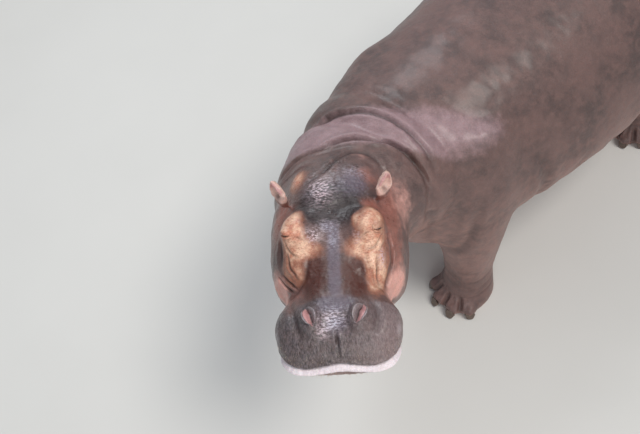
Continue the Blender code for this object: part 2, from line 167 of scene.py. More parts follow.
def mesh_of(name, shape):
    """Ends the work on a shape and keeps it as a mesh."""
    mesh = bpy.data.meshes.new(name)
    shape.to_mesh(mesh)
    shape.free()
    return mesh


def bump(distance, width):
    return np.exp(-((distance / width) ** 2))


def ramp(low, high, values):
    """Rises smoothly from 0 at low to 1 at high."""
    share = np.clip((values - low) / (high - low), 0, 1)
    return share * share * (3 - 2 * share)


def blob(places, centre, radii):
    """1 at the centre, fading to 0 past the radii."""
    return np.exp(-(((places - np.array(centre)) / np.array(radii)) ** 2).sum(1))


def wavy(places, sizes, seed):
    """Smooth noise from -1 to 1 with waves of the given sizes along x, y and z."""
    shifted = places / np.array(sizes) + seed
    return np.array([noise.noise(Vector(place)) for place in shifted])


def waves(places, *rows):
    """The sum of several noises, each given by its height, its sizes and its seed."""
    return sum(height * wavy(places, sizes, seed) for height, sizes, seed in rows)


def fused_flesh():
    """One closed skin round all the flesh and the eyeballs, without the cuts between the solids."""
    shape = bmesh.new()
    for name in (*FLESH, "eye_left", "eye_right"):
        piece = bmesh.new()
        piece.from_mesh(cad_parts[name].data)
        bmesh.ops.remove_doubles(piece, verts=piece.verts, dist=1e-5)
        bmesh.ops.recalc_face_normals(piece, faces=piece.faces)
        piece.normal_update()
        for vertex in piece.verts:
            vertex.co += vertex.normal * GROWTH
        shape.from_mesh(mesh_of(name, piece))
    skin = new_object("hide", mesh_of("hide", shape))
    remesh = skin.modifiers.new("fuse", "REMESH")
    remesh.mode = "VOXEL"
    remesh.voxel_size = SKIN_VOXEL
    return outer_shell(applied(skin))


def outer_shell(obj):
    """Keeps the shell that holds the highest vertex and drops the closed hollows inside it."""
    shape = bmesh.new()
    shape.from_mesh(obj.data)
    stack = [max(shape.verts, key=lambda vertex: vertex.co.z)]
    keep = set(stack)
    while stack:
        for edge in stack.pop().link_edges:
            other = edge.verts[1] if edge.verts[0] in keep else edge.verts[0]
            if other not in keep:
                keep.add(other)
                stack.append(other)
    dropped = [vertex for vertex in shape.verts if vertex not in keep]
    bmesh.ops.delete(shape, geom=dropped, context="VERTS")
    shape.to_mesh(obj.data)
    shape.free()
    return obj


def smoothed(mesh, strength, rounds):
    """Evens out the mesh by as much as strength, from 0 to 1 at each vertex, asks for."""
    places = places_of(mesh)
    edges = np.empty(len(mesh.edges) * 2, dtype=np.int32)
    mesh.edges.foreach_get("vertices", edges)
    start, end = edges.reshape(-1, 2).T
    moving = (strength[start] > 0.01) | (strength[end] > 0.01)
    start, end = start[moving], end[moving]
    count = len(places)
    degree = np.maximum(np.bincount(start, minlength=count) + np.bincount(end, minlength=count), 1)
    share = np.where(strength > 0.01, strength * 0.6, 0)[:, None]
    mean = np.empty_like(places)
    for _ in range(rounds):
        for axis in range(3):
            column = places[:, axis]
            mean[:, axis] = np.bincount(start, column[end], count)
            mean[:, axis] += np.bincount(end, column[start], count)
        places += (mean / degree[:, None] - places) * share
    write_places(mesh, places)


def refine(mesh, wanted):
    """Splits every face whose vertices are all wanted into four."""
    shape = bmesh.new()
    shape.from_mesh(mesh)
    shape.verts.ensure_lookup_table()
    chosen = [face for face in shape.faces if all(wanted[vertex.index] for vertex in face.verts)]
    edges = {edge for face in chosen for edge in face.edges}
    bmesh.ops.subdivide_edges(shape, edges=list(edges), cuts=1, use_grid_fill=True, smooth=0.0)
    bmesh.ops.triangulate(shape, faces=[face for face in shape.faces if len(face.verts) > 4])
    shape.to_mesh(mesh)
    shape.free()


# Sculpting


def curve_through(points, spacing=0.003):
    """A smooth curve through a few points, read at an even spacing."""
    table = np.array(points, float)
    padded = np.vstack([2 * table[0] - table[1], table, 2 * table[-1] - table[-2]])
    found = []
    for i in range(len(table) - 1):
        a, b, c, d = padded[i : i + 4]
        steps = max(2, int(np.linalg.norm(c - b) / spacing))
        for t in np.linspace(0, 1, steps, endpoint=False):
            square = (2 * a - 5 * b + 4 * c - d) * t**2
            cube = (3 * b - a - 3 * c + d) * t**3
            found.append(0.5 * (2 * b + (c - a) * t + square + cube))
    found.append(table[-1])
    return np.array(found)


def mirrored(points, side):
    return [(x * side, y, z) for x, y, z in points]


class Sculptor:
    """Presses and raises the hide's vertices, in the coordinates that turn places in the world."""

    def __init__(self, skin, turn):
        self.mesh = skin.data
        self.turn = turn
        self.back = turn.inverted()
        self.crease = np.zeros(len(self.mesh.vertices))  # how dark the painted shade in the creases is
        self.shade_strength = 1.0  # how dark the painted shade in the grooves pressed from now on is
        self.read()

    def read(self):
        self.places = carried(self.back, places_of(self.mesh))
        self.normals = read_vectors(self.mesh.vertices, "normal") @ np.array(self.back)[:3, :3].T
        self.tree = None

    def write(self):
        write_places(self.mesh, carried(self.turn, self.places))
        self.read()

    def smooth(self, strength, rounds):
        smoothed(self.mesh, strength, rounds)
        self.read()

    def snapped(self, points):
        """The curve through the points, laid on the hide."""
        if self.tree is None:
            self.tree = KDTree(len(self.places))
            for index, place in enumerate(self.places):
                self.tree.insert(place, index)
            self.tree.balance()
        laid = np.array([self.tree.find(place)[0] for place in curve_through(points)])
        for _ in range(3):
            laid[1:-1] = (laid[:-2] + laid[1:-1] * 2 + laid[2:]) / 4
        return laid

    def to_curve(self, curve, reach):
        """Vertices within reach of the curve: their distance, share of its length and nearest point."""
        inside = (self.places > curve.min(0) - reach) & (self.places < curve.max(0) + reach)
        near = np.flatnonzero(inside.all(1))
        distance = np.full(len(near), reach * 2)
        share = np.zeros(len(near))
        closest = np.zeros((len(near), 3))
        for i in range(len(curve) - 1):
            span = curve[i + 1] - curve[i]
            t = np.clip(((self.places[near] - curve[i]) @ span) / max(span @ span, 1e-12), 0, 1)
            point = curve[i] + t[:, None] * span
            gap = np.linalg.norm(self.places[near] - point, axis=1)
            closer = gap < distance
            distance[closer] = gap[closer]
            share[closer] = (i + t[closer]) / (len(curve) - 1)
            closest[closer] = point[closer]
        found = distance < reach
        return near[found], distance[found], share[found], closest[found]

    def move(self, vertices, amount):
        self.places[vertices] += self.normals[vertices] * amount[:, None]

    def paint_shade(self, vertices, amount):
        """Paints shade on the vertices as if they lay in a crease, as darkly as amount, from 0 to 1, asks
        for.
        """
        self.crease[vertices] = np.maximum(self.crease[vertices], amount)

    def groove(self, points, depth, width, lip=0.35):
        """A crease pressed along a curve, with a soft roll on both sides, fading ends and painted shade
        along it.
        """
        curve = self.snapped(points)
        near, distance, share, _ = self.to_curve(curve, width * 4)
        fade = np.sqrt(np.sin(np.pi * np.clip(share, 0.001, 0.999)))
        press = -bump(distance, width) + lip * bump(distance - 2.1 * width, width)
        self.move(near, depth * fade * press)
        self.paint_shade(near, self.shade_strength * min(1, depth / 0.006) * fade * bump(distance, width * 0.8))

    def folds(self, *rows, sides=(1,)):
        """Grooves given in millimetres: the points, the depth, the width and perhaps the lip."""
        for points, depth, width, *lip in rows:
            for side in sides:
                self.groove(mirrored(np.array(points) / 1000, side), depth / 1000, width / 1000, *lip)

    def paired_folds(self, *rows):
        """The same grooves on the left side and on the right."""
        self.folds(*rows, sides=(1, -1))

    def swell(self, place, radii, height):
        """A soft swelling round a place."""
        reach = blob(self.places, place, radii)
        near = np.flatnonzero(reach > 0.01)
        self.move(near, reach[near] * height)


def ear_frame(side):
    """The ear's own coordinates in the head's: z runs up the ear and -y out of its opening."""
    about_y, about_x, about_z = (math.radians(angle) for angle in EAR_LEAN)
    base = Matrix.Translation((EAR_BASE.x * side, EAR_BASE.y, EAR_BASE.z))
    lean = Matrix.Rotation(side * about_y, 4, "Y") @ Matrix.Rotation(about_x, 4, "X")
    return base @ lean @ Matrix.Rotation(side * about_z, 4, "Z")


def in_ear(places, side):
    return carried(ear_frame(side).inverted(), places)


def drawn_to_ear(hide, name, side):
    """Draws the hide back onto the cupped ear, which the fusing had filled in."""
    shape = bmesh.new()
    shape.from_mesh(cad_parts[f"ear_{name}"].data)
    tree = BVHTree.FromBMesh(shape)
    shape.free()
    for _ in range(3):
        inside = in_ear(hide.places, side)
        near = np.flatnonzero((np.abs(inside[:, :2]).max(1) < 0.06) & (inside[:, 2] > 0.014))
        for index, place in zip(near, carried(hide.turn, hide.places[near])):
            found, _, _, distance = tree.find_nearest(Vector(place))
            share = float(ramp(0.014, 0.036, inside[index, 2])) * (distance < 0.025)
            hide.places[index] += (carried(hide.back, np.array(found)) - hide.places[index]) * share
        hide.write()
        inside = in_ear(hide.places, side)
        tall = ramp(0.0, 0.02, inside[:, 2]) * (np.abs(inside[:, :2]).max(1) < 0.06)
        hide.smooth(tall * 0.6, 2)


def shaped_ear(hide, side):
    """Shapes the ear as a leaf: a wider base, a pointed tip and a hollow darkened with painted shade."""
    inside = in_ear(hide.places, side)
    across, out, up = inside.T
    near = (np.abs(across) < 0.055) & (np.abs(out) < 0.045) & (up > -0.02)
    widen = 0.5 * bump(up - 0.022, 0.022) * ramp(0.045, 0.032, np.abs(across))
    pointed = 0.08 * ramp(0.03, 0.045, up) + 0.34 * ramp(0.045, 0.1, up)
    hollow = bump(across, 0.019) * bump(up - 0.048, 0.03) * ramp(0.004, -0.004, out)
    across *= 1 + (widen - pointed) * near
    out += 0.009 * hollow * near
    hide.places = np.where(near[:, None], carried(ear_frame(side), inside), hide.places)
    # Painted shade in the deepest part of the hollow.
    deep = bump(across, 0.013) * bump(up - 0.03, 0.018) * ramp(0.008, -0.002, out)
    hide.paint_shade(slice(None), 0.75 * deep * near)


def eye_coordinates(hide, side):
    """Each vertex's way along the lids, up across them, out of the eye and from its middle."""
    centre, gaze, axis = (np.array(vector) * (side, 1, 1) for vector in (EYE_IN_HEAD, GAZE, LID_AXIS))
    offset = hide.places - centre
    up = np.cross(gaze, axis) * side
    return offset, offset @ axis, offset @ up, offset @ gaze, np.linalg.norm(offset, axis=1)


def eyelids(hide, side):
    """A heavy upper lid that half covers the eye, a narrow slit under it and a thick lower lid."""
    offset, _, _, out, distance = eye_coordinates(hide, side)
    fill = ramp(0.042, 0.026, distance) * ramp(-0.01, 0.004, out)
    lifted = np.maximum(distance, EYE_RADIUS + 0.0055)
    hide.places += offset * ((lifted / np.maximum(distance, 1e-6) - 1) * fill)[:, None]
    hide.write()
    hide.smooth(ramp(0.06, 0.04, distance) * ramp(-0.03, 0.0, out), 30)

    offset, along, up, out, distance = eye_coordinates(hide, side)
    edge = -0.002 + 10.0 * along**2
    opening = 0.0058 * np.sqrt(np.clip(1 - (along / 0.0235) ** 2, 0, 1))
    above = up - edge - opening
    below = edge - opening - up
    facing = ramp(0.0, 0.008, out)
    inside = facing * (distance < 0.045) * ramp(0.0008, -0.0012, np.maximum(above, below))
    inside = np.where(opening > 0.0005, inside, 0)
    length = ramp(0.034, 0.02, np.abs(along)) * facing
    lid = 0.0028 * bump(above - 0.005, 0.0065) * (above > -0.001)
    lid += 0.0026 * bump(below - 0.004, 0.0045) * (below > -0.001)
    lid -= 0.003 * bump(below - 0.015, 0.004)
    lid += 0.003 * bump(below - 0.024, 0.008)
    target = distance + lid * length * ramp(0.06, 0.04, distance)
    target = target * (1 - inside) + (EYE_RADIUS - 0.004) * inside
    hide.places += offset * (target / np.maximum(distance, 1e-6) - 1)[:, None]
    # Painted shade in the slit, and in the groove under the lower lid.
    hide.paint_shade(slice(None), inside)
    hide.paint_shade(slice(None), 0.35 * length * bump(below - 0.015, 0.004) * (distance < 0.05))
    hide.write()


def eye_folds(hide):
    """Folds that sweep from under each eye towards the snout, unlike on the two sides."""
    hide.folds(
        ((
            (-192, -160, -20), (-186, -174, -28), (-182, -190, -55), (-166, -212, -65),
            (-140, -236, -67),
        ), 5, 5.5),
        (((196, -160, -30), (182, -192, -48), (156, -213, -60), (124, -224, -60)), 3.6, 6),
        (((205, -172, -75), (190, -205, -72), (168, -232, -78)), 2.8, 6),
    )
    hide.paired_folds(
        (((112, -196, -12), (128, -190, -2), (148, -184, 2)), 2.8, 4.5),
        (((92, -150, 8), (100, -115, 14), (122, -80, 10), (156, -64, -6)), 1.4, 9),
    )


def nostril(hide, side):
    """A slanting oval: a pink outer wall slopes down to a thin slit with painted shade, beside an inner
    wall painted pale as a highlight of wet skin.
    """
    line = ((0.11, -0.457, -0.086), (0.096, -0.497, -0.062), (0.081, -0.536, -0.07))
    curve = hide.snapped(mirrored(line, side))
    near, distance, share, closest = hide.to_curve(curve, 0.075)
    width = 0.0205 * np.sqrt(np.clip(np.sin(np.pi * share), 0.05, 1))
    across = np.sign((hide.places[near, 0] - closest[:, 0]) * side) * distance / width
    depth = ramp(1.05, -0.05, across) * ramp(-1.05, -0.35, across)
    rim = bump(np.abs(across) - 1.25, 0.24)
    ditch = bump(np.abs(across) - 2.0, 0.4)
    hide.move(near, -0.02 * depth + 0.0045 * rim - 0.0035 * ditch)
    outer_wall = ramp(1.05, 0.85, across) * ramp(-0.2, 0.0, across)
    # The inner wall's paleness is a painted highlight.
    inner_wall = 0.78 * ramp(-0.35, -0.5, across) * ramp(-1.15, -0.95, across)
    edge = bump(np.abs(across) - 1.15, 0.2)
    hide.pink[near] = np.maximum(hide.pink[near], outer_wall)
    hide.rims[near] = np.maximum.reduce([hide.rims[near], edge, inner_wall])
    # Painted shade in the slit.
    hide.paint_shade(near, 1.4 * bump(across + 0.2, 0.2) * ramp(0.02, 0.12, share) * ramp(0.98, 0.88, share))
    hide.write()
    soft = np.zeros(len(hide.places))
    soft[near] = ramp(2.6, 1.6, np.abs(across)) * 0.5
    hide.smooth(soft, 2)


def above_mouth(places):
    """Height of each place above the mouth's line, which arches in the middle and droops beside it."""
    line = np.interp(-places[:, 1], *zip(*MOUTH_LINE))
    beside = np.abs(places[:, 0])
    return places[:, 2] - line - 0.018 * bump(beside, 0.06) + 0.006 * bump(beside - 0.13, 0.045)


def lip_share(places):
    """1 round the mouth's line, fading where it ends in the cheeks."""
    length = np.linalg.norm(places[:, :2] * (1, 0.3), axis=1)
    return ramp(0.225, 0.27, -places[:, 1]) * ramp(0.06, 0.12, length)


def mouth(hide):
    """The closed mouth: the upper lip hangs over a rounded lower lip."""
    above = above_mouth(hide.places)
    lips = lip_share(hide.places)
    near = np.flatnonzero((np.abs(above) < 0.08) & (lips > 0.01))
    above = above[near]
    press = -0.013 * bump(above, 0.004) + 0.005 * bump(above - 0.011, 0.008)
    hide.move(near, press * lips[near])
    corner = bump(np.abs(hide.places[near, 0]) - 0.19, 0.05)
    bulge = bump(above + 0.028, 0.017) * ramp(0.0, -0.008, above) * ramp(0.42, 0.56, -hide.places[near, 1])
    outward = hide.normals[near] * (1, 1, 0) + (0, 0, 0.25)
    hide.places[near] += outward * (bulge * (0.011 + 0.007 * corner))[:, None]
    # Painted shade along the mouth's line.
    hide.paint_shade(near, lips[near] * bump(above, 0.0045))


def cheek_folds(hide):
    """Slanting grooves on the right cheek; on the left a shining swelling between two long ones."""
    hide.folds(
        (((-228, -250, -166), (-201, -293, -167), (-162, -338, -156)), 9, 5.5),
        (((-210, -258, -142), (-176, -303, -139), (-149, -333, -143)), 8, 5.5),
        (((-184, -205, -70), (-178, -255, -92), (-158, -289, -99), (-143, -310, -115)), 6, 6),
        (((-212, -130, -70), (-215, -185, -106), (-214, -235, -128)), 6, 11),
    )
    hide.swell((0.184, -0.245, -0.095), (0.022, 0.05, 0.03), 0.008)
    hide.folds(
        ((
            (208, -130, -75), (217, -181, -111), (218, -225, -129), (208, -268, -147),
            (193, -307, -170), (184, -340, -176),
        ), 12, 8),
        (((166, -225, -78), (164, -270, -93), (158, -306, -126), (168, -337, -160)), 6, 6),
    )


def snout_folds(hide):
    """Furrows between the cheeks and the snout, and round the two mounds of the nostrils."""
    # Paler painted shade in the furrows beside the snout and round the nostrils.
    hide.shade_strength = 0.5
    hide.folds(
        ((
            (118, -232, -66), (136, -295, -96), (153, -333, -146), (190, -356, -180),
            (225, -372, -205),
        ), 4.5, 8.5),
        ((
            (-94, -238, -70), (-114, -305, -100), (-143, -333, -139), (-176, -360, -164),
            (-218, -376, -196),
        ), 6, 8.5),
        (((-172, -395, -150), (-164, -456, -122), (-152, -510, -122), (-128, -560, -138)), 8, 15),
        (((124, -400, -118), (152, -448, -117), (160, -500, -122), (142, -550, -132)), 8, 14),
    )
    for side in SIDES.values():
        hide.swell((0.096 * side, -0.495, -0.066), (0.042, 0.052, 0.04), 0.006)
    hide.paired_folds(
        (((58, -452, -78), (50, -500, -84), (56, -556, -106)), 4.5, 11),
    )
    # Full painted shade again in the grooves down the middle of the muzzle.
    hide.shade_strength = 1.0
    hide.folds(
        (((2, -540, -110), (1, -563, -131), (4, -588, -150)), 7.5, 6),
        (((3, -585, -145), (4, -604, -168), (4, -616, -200)), 1.8, 6),
    )


def brow_and_nape(hide):
    """The hollow of the forehead, the ridges of the crown and the fold at the back of the skull."""
    hide.swell((0.038, -0.045, 0.0), (0.05, 0.035, 0.05), -0.012)
    hide.swell((-0.055, 0.02, 0.005), (0.05, 0.04, 0.05), 0.005)
    hide.swell((0.06, 0.19, -0.02), (0.09, 0.055, 0.07), 0.008)
    hide.folds(
        ((
            (-130, 60, -10), (-45, 120, 0), (0, 168, -12), (55, 240, -42), (95, 262, -55),
            (165, 235, -75), (215, 170, -85),
        ), 7, 11),
    )


def neck_rolls(hide):
    """Sharpens the two deep creases behind the skull into rolls of fat."""
    hide.folds(
        ((
            (-200, 235, -200), (-120, 275, -110), (-46, 305, -70), (9, 330, -60), (72, 338, -58),
            (122, 337, -62), (175, 330, -75), (234, 326, -110), (294, 304, -150), (345, 260, -215),
            (360, 225, -290),
        ), 22, 11, 0.45),
        ((
            (-200, 440, -260), (-110, 490, -150), (-28, 512, -110), (51, 508, -80),
            (125, 497, -69), (221, 455, -75), (301, 395, -100), (378, 320, -155), (420, 240, -240),
        ), 16, 12, 0.4),
    )


def wrinkled_head(hide):
    """Small uneven folds: across the forehead, along the snout and all over the muzzle."""
    places = hide.places
    near = np.flatnonzero((places[:, 1] < 0.26) & (places[:, 2] > -0.42))
    here = places[near]
    forehead = blob(here, (0, 0.03, 0.0), (0.17, 0.15, 0.12))
    muzzle = ramp(0.38, 0.45, -here[:, 1])
    warped = here + 0.025 * wavy(here, (0.07, 0.07, 0.07), 2.6)[:, None] * (0, 1, 0)
    height = forehead * waves(
        warped,
        (0.002, (0.045, 0.013, 0.03), 3.7),
        (0.0016, (0.02, 0.009, 0.02), 9.1),
    )
    height += waves(
        here,
        (0.0022, (0.045, 0.045, 0.045), 1.3),
        (0.0014 * forehead, (0.012, 0.012, 0.012), 4.9),
        (0.0014 * (1 - forehead), (0.015, 0.028, 0.02), 5.2),
        (0.0012 * muzzle, (0.01, 0.022, 0.022), 7.9),
    )
    from_eyes = np.minimum(*(eye_coordinates(hide, side)[-1] for side in SIDES.values()))
    calm = ramp(0.026, 0.045, from_eyes[near]) * ramp(0.26, 0.2, here[:, 1])
    hide.move(near, height * calm)


def body_folds(hide):
    """Creases round the shoulders, flanks and haunches, in body coordinates."""
    # Pale painted shade in the body's creases.
    hide.shade_strength = 0.35
    hide.paired_folds(
        (((460, -100, 1140), (540, 0, 920), (520, 20, 680), (380, -30, 500), (240, -60, 440)), 12, 28),
        (((550, 300, 780), (530, 170, 620), (400, 60, 480)), 4, 26),
        (((470, -360, 1020), (490, -420, 840), (400, -450, 620), (250, -460, 520)), 10, 24),
        (((480, 840, 980), (540, 740, 800), (510, 680, 600), (360, 700, 460)), 11, 26),
        (((560, 400, 720), (530, 520, 580), (400, 610, 450)), 4, 26),
        (((360, 1200, 1050), (400, 1250, 880), (360, 1260, 720)), 8, 20),
        (((360, -620, 1220), (420, -600, 1050), (420, -600, 860), (330, -620, 680)), 9, 22),
    )


def parted_toes(hide):
    """A furrow between each two toes, and a roll of skin over each nail."""
    # Painted shade in the furrows between the toes.
    hide.shade_strength = 0.6
    climb = ((0.0, -0.01), (0.05, 0.025), (0.22, 0.055), (0.45, 0.085))  # share of the way back, and height
    for foot in [f"{pair}_{name}" for pair in ("front", "rear") for name in SIDES]:
        nails = [centre_of(f"nail_{foot}_{number}") - Vector((MIDDLE_X, 0, 0)) for number in (1, 2, 3, 4)]
        heel = (nails[0] + nails[3]) / 2 + Vector((0, 0.1, 0))
        for nail, other in zip(nails, nails[1:]):
            between = (nail + other) / 2
            furrow = [between + (heel - between) * share + Vector((0, 0, rise)) for share, rise in climb]
            hide.groove([tuple(point) for point in furrow], 0.011, 0.01, lip=0.5)
        for nail in nails:
            above = nail + (heel - nail) * 0.1 + Vector((0, 0, 0.026))
            hide.swell(tuple(above), (0.026, 0.026, 0.016), 0.007)


def rings_of_the_legs(hide):
    """Low rings of skin above each foot."""
    places = hide.places
    near = np.flatnonzero(places[:, 2] < 0.42)
    here = places[near]
    height = here[:, 2] + 0.03 * wavy(here, (0.14, 0.14, 0.5), 2.2)
    amount = np.zeros(len(near))
    for level, depth in ((0.135, 0.0045), (0.18, 0.003), (0.245, 0.0035), (0.33, 0.0025)):
        uneven = 0.5 + 0.5 * wavy(here, (0.1, 0.1, 0.4), 10 * level)
        amount -= depth * uneven * bump(height - level, 0.009)
    hide.move(near, amount * ramp(0.4, 0.36, here[:, 2]))
    # Painted shade in the grooves between the rings.
    hide.paint_shade(near, -amount / 0.008)


def wrinkled_body(hide):
    """Broad unevenness of fat and folds over the body and legs, less near the flat soles."""
    places = hide.places
    near = np.flatnonzero(in_head(places + np.array((MIDDLE_X, 0, 0)))[:, 1] > 0.2)
    here = places[near]
    height = waves(
        here,
        (0.006, (0.3, 0.22, 0.35), 4.4),
        (0.003, (0.14, 0.1, 0.16), 8.8),
        (0.0014, (0.05, 0.035, 0.05), 6.1),
    )
    hide.move(near, height * ramp(0.02, 0.12, here[:, 2]))


# Soft patches of each tone on the head: centre and radii, in millimetres, and strength.
ON_BOTH_SIDES = {
    "pale": (
        ((163, -103, 2), (46, 58, 50), 1.15),
        ((144, -160, 0), (36, 36, 50), 0.5),
        ((112, -213, -45), (70, 36, 50), 0.9),
        ((172, -180, -45), (35, 50, 50), 0.6),
    ),
    "blush": (
        ((235, -315, -215), (60, 110, 85), 1.1),
    ),
    "ruddy": (
        ((215, -60, -85), (60, 150, 90), 0.62),
        ((120, -260, -90), (45, 110, 60), 0.6),
    ),
    "snout": (
        ((85, -310, -90), (65, 125, 80), 1.0),
    ),
    "dark": (
        ((0, -30, 10), (165, 105, 90), 0.9),
        ((30, -60, 0), (90, 45, 50), 0.5),
    ),
}
ON_ONE_SIDE = {
    "pale": (
        ((-172, -125, 0), (36, 45, 50), 0.6),
        ((100, -125, 0), (22, 30, 40), 0.7),
        ((103, -172, 0), (22, 24, 40), 0.12),
        ((118, -240, -55), (30, 30, 40), 0.4),
        ((140, -290, -100), (20, 70, 50), 0.45),
        ((-135, -290, -95), (22, 70, 50), 0.42),
        ((-140, -170, -10), (36, 36, 50), 0.35),
        ((-178, -265, -110), (48, 75, 60), 0.56),
        ((172, -265, -105), (45, 80, 60), 0.7),
        ((160, -325, -140), (40, 60, 50), 0.55),
        ((-145, 122, -38), (40, 55, 50), 0.95),
    ),
    "blush": (
        ((262, 60, -190), (70, 160, 130), 0.6),
        ((115, 235, -60), (70, 45, 60), 0.4),
    ),
    "ruddy": (
        ((235, 20, -110), (60, 170, 110), 0.42),
        ((130, 115, -35), (60, 55, 50), 0.62),
        ((235, -220, -160), (50, 100, 90), 0.6),
        ((-210, -40, -70), (40, 80, 70), 1.0),
        ((-140, -300, -110), (35, 80, 60), 0.45),
        ((-176, -363, -164), (30, 50, 50), 0.5),
        ((103, -165, 0), (24, 40, 40), 0.5),
    ),
    # Painted highlights: pale flecks where the wet skin glints.
    "painted_glint": (
        ((-42, 35, 4), (48, 60, 50), 1.25),
        ((85, 125, -15), (70, 30, 50), 0.45),
        ((-78, -168, -22), (26, 24, 30), 1.2),
        ((96, -188, -20), (16, 22, 30), 0.7),
        ((-10, -504, -92), (52, 44, 50), 1.2),
        ((-50, -548, -105), (22, 22, 30), 0.8),
        ((184, -245, -95), (12, 34, 30), 1.1),
        ((0, -185, -45), (28, 35, 30), 0.5),
        ((-20, -128, -22), (50, 30, 30), 0.45),
    ),
    "lilac": (
        # Lilac is the skin's own bluish tone, but the first patch, on the crown's left side, paints the
        # bluish sheen of wet skin.
        ((85, 65, -5), (90, 90, 60), 0.75),
        ((-15, -130, -20), (55, 35, 30), 0.7),
        ((-110, 30, -20), (45, 60, 50), 0.35),
    ),
}


def patches(places, spots):
    """The sum of soft patches, each with its centre and radii, in millimetres, and its strength."""
    return sum(strength * blob(places * 1000, centre, radii) for centre, radii, strength in spots)


def muzzle_and_lip(places, beside):
    """The stippled upper lip, and the pale lower lip with the lighter bulges over its corners."""
    forward = -places[:, 1]
    above = above_mouth(places)
    muzzle = ramp(0.385, 0.45, forward) * ramp(-0.02, 0.004, above)
    muzzle *= 1 - 0.6 * blob(places, (-0.172, -0.42, -0.14), (0.04, 0.07, 0.06))
    narrowed = above / np.clip(ramp(0.4, 0.6, forward), 0.15, 1)
    lip = ramp(-0.056, -0.044, narrowed) * ramp(-0.001, -0.006, above) * ramp(0.4, 0.5, forward)
    corners = blob(beside, (0.232, -0.515, -0.18), (0.022, 0.06, 0.045))
    return muzzle, np.maximum(lip, 0.42 * corners)


def ear_and_inside(places, beside, normals):
    """The ears, and the pink of their hollows."""
    reach = (beside - np.array((0.2, 0.015, 0.03))) / (0.055, 0.055, 0.065)
    ear = ramp(1.45, 1.0, np.linalg.norm(reach, axis=1)) * ramp(-0.03, 0.004, places[:, 2])
    open_side = ramp(0.2, 0.7, normals @ np.array((0, -0.9, 0.3)))
    return ear, ear * open_side * ramp(0.02, 0.04, places[:, 2])


def zones(mesh, hide):
    """How strongly each tone of the hide shows at each vertex, from 0 to 1, by the tone's name."""
    world = places_of(mesh)
    normals = read_vectors(mesh.vertices, "normal")
    places = in_head(world)
    _, back, height = places.T
    beside = np.column_stack((np.abs(places[:, 0]), back, height))
    found = {name: patches(beside, spots) for name, spots in ON_BOTH_SIDES.items()}
    for name, spots in ON_ONE_SIDE.items():
        found[name] = found.get(name, 0) + patches(places, spots)

    head = ramp(0.3, 0.18, back) * ramp(-0.62, -0.5, height)
    lid_top = blob(places, (0.15, -0.03, -0.015), (0.05, 0.035, 0.05))
    # Painted shade on the outer side of the right cheek.
    painted_side_shade = 0.38 * blob(places, (-0.225, -0.175, -0.105), (0.032, 0.15, 0.085))
    dark = found["dark"] * (1 - 0.8 * lid_top)
    # The bluish band down the middle of the snout, and where it widens at its end.
    band = bump(places[:, 0] - 0.002, 0.028) * ramp(-0.07, -0.15, back) * ramp(-0.46, -0.38, back)
    nose_end = blob(beside, (0.0, -0.44, -0.09), (0.09, 0.05, 0.06))
    between = blob(beside, (0.0, -0.52, -0.1), (0.055, 0.045, 0.06))
    top = ramp(-0.2, -0.08, height) * ramp(0.2, 0.6, normals[:, 2])
    under = ramp(0.35, -0.75, normals[:, 2]) * ramp(1.3, 0.6, world[:, 2])
    throat = head * ramp(-0.18, -0.4, height) * ramp(0.2, -0.6, normals[:, 2])
    muzzle, lip = muzzle_and_lip(places, beside)
    ear, ear_hollow = ear_and_inside(places, beside, hide.normals)

    found["pale"] *= 1 - painted_side_shade
    found["ruddy"] += 0.8 * lid_top
    shine = [0.35 * dark, 0.6 * band, 0.7 * nose_end, between, 0.6 * top * head, found["painted_glint"]]
    found.update(
        dark=np.maximum(dark, painted_side_shade),
        lilac=np.maximum.reduce([band, 0.9 * nose_end, 0.8 * between, found["lilac"]]),
        sunlit=ramp(-0.02, 0.24, places[:, 0]),
        # The neck rolls' pinkish purple, paler on their tops as painted sheen of wet skin.
        mauve=ramp(0.27, 0.34, back) * ramp(0.6, 0.44, back) * ramp(-0.34, -0.14, height),
        muzzle=muzzle,
        # The nostrils' pale rims, with the painted highlight on their inner walls, take the lip's tone.
        lip=np.maximum(lip, 0.48 * hide.rims),
        pink=np.maximum(hide.pink, 0.6 * ear_hollow),
        ear=ear,
        under=np.maximum(under, throat),
        # painted shade in the creases, slits and hollows
        crease=hide.crease,
        head=head,
        wet=np.maximum.reduce(shine),
    )
    return found


def paint_zones(mesh, hide):
    """Keeps each zone as an attribute of the mesh, which the hide's material reads by its name."""
    for name, values in zones(mesh, hide).items():
        layer = mesh.attributes.new(name, "FLOAT", "POINT")
        layer.data.foreach_set("value", np.clip(values, 0, 1).astype(np.float32))


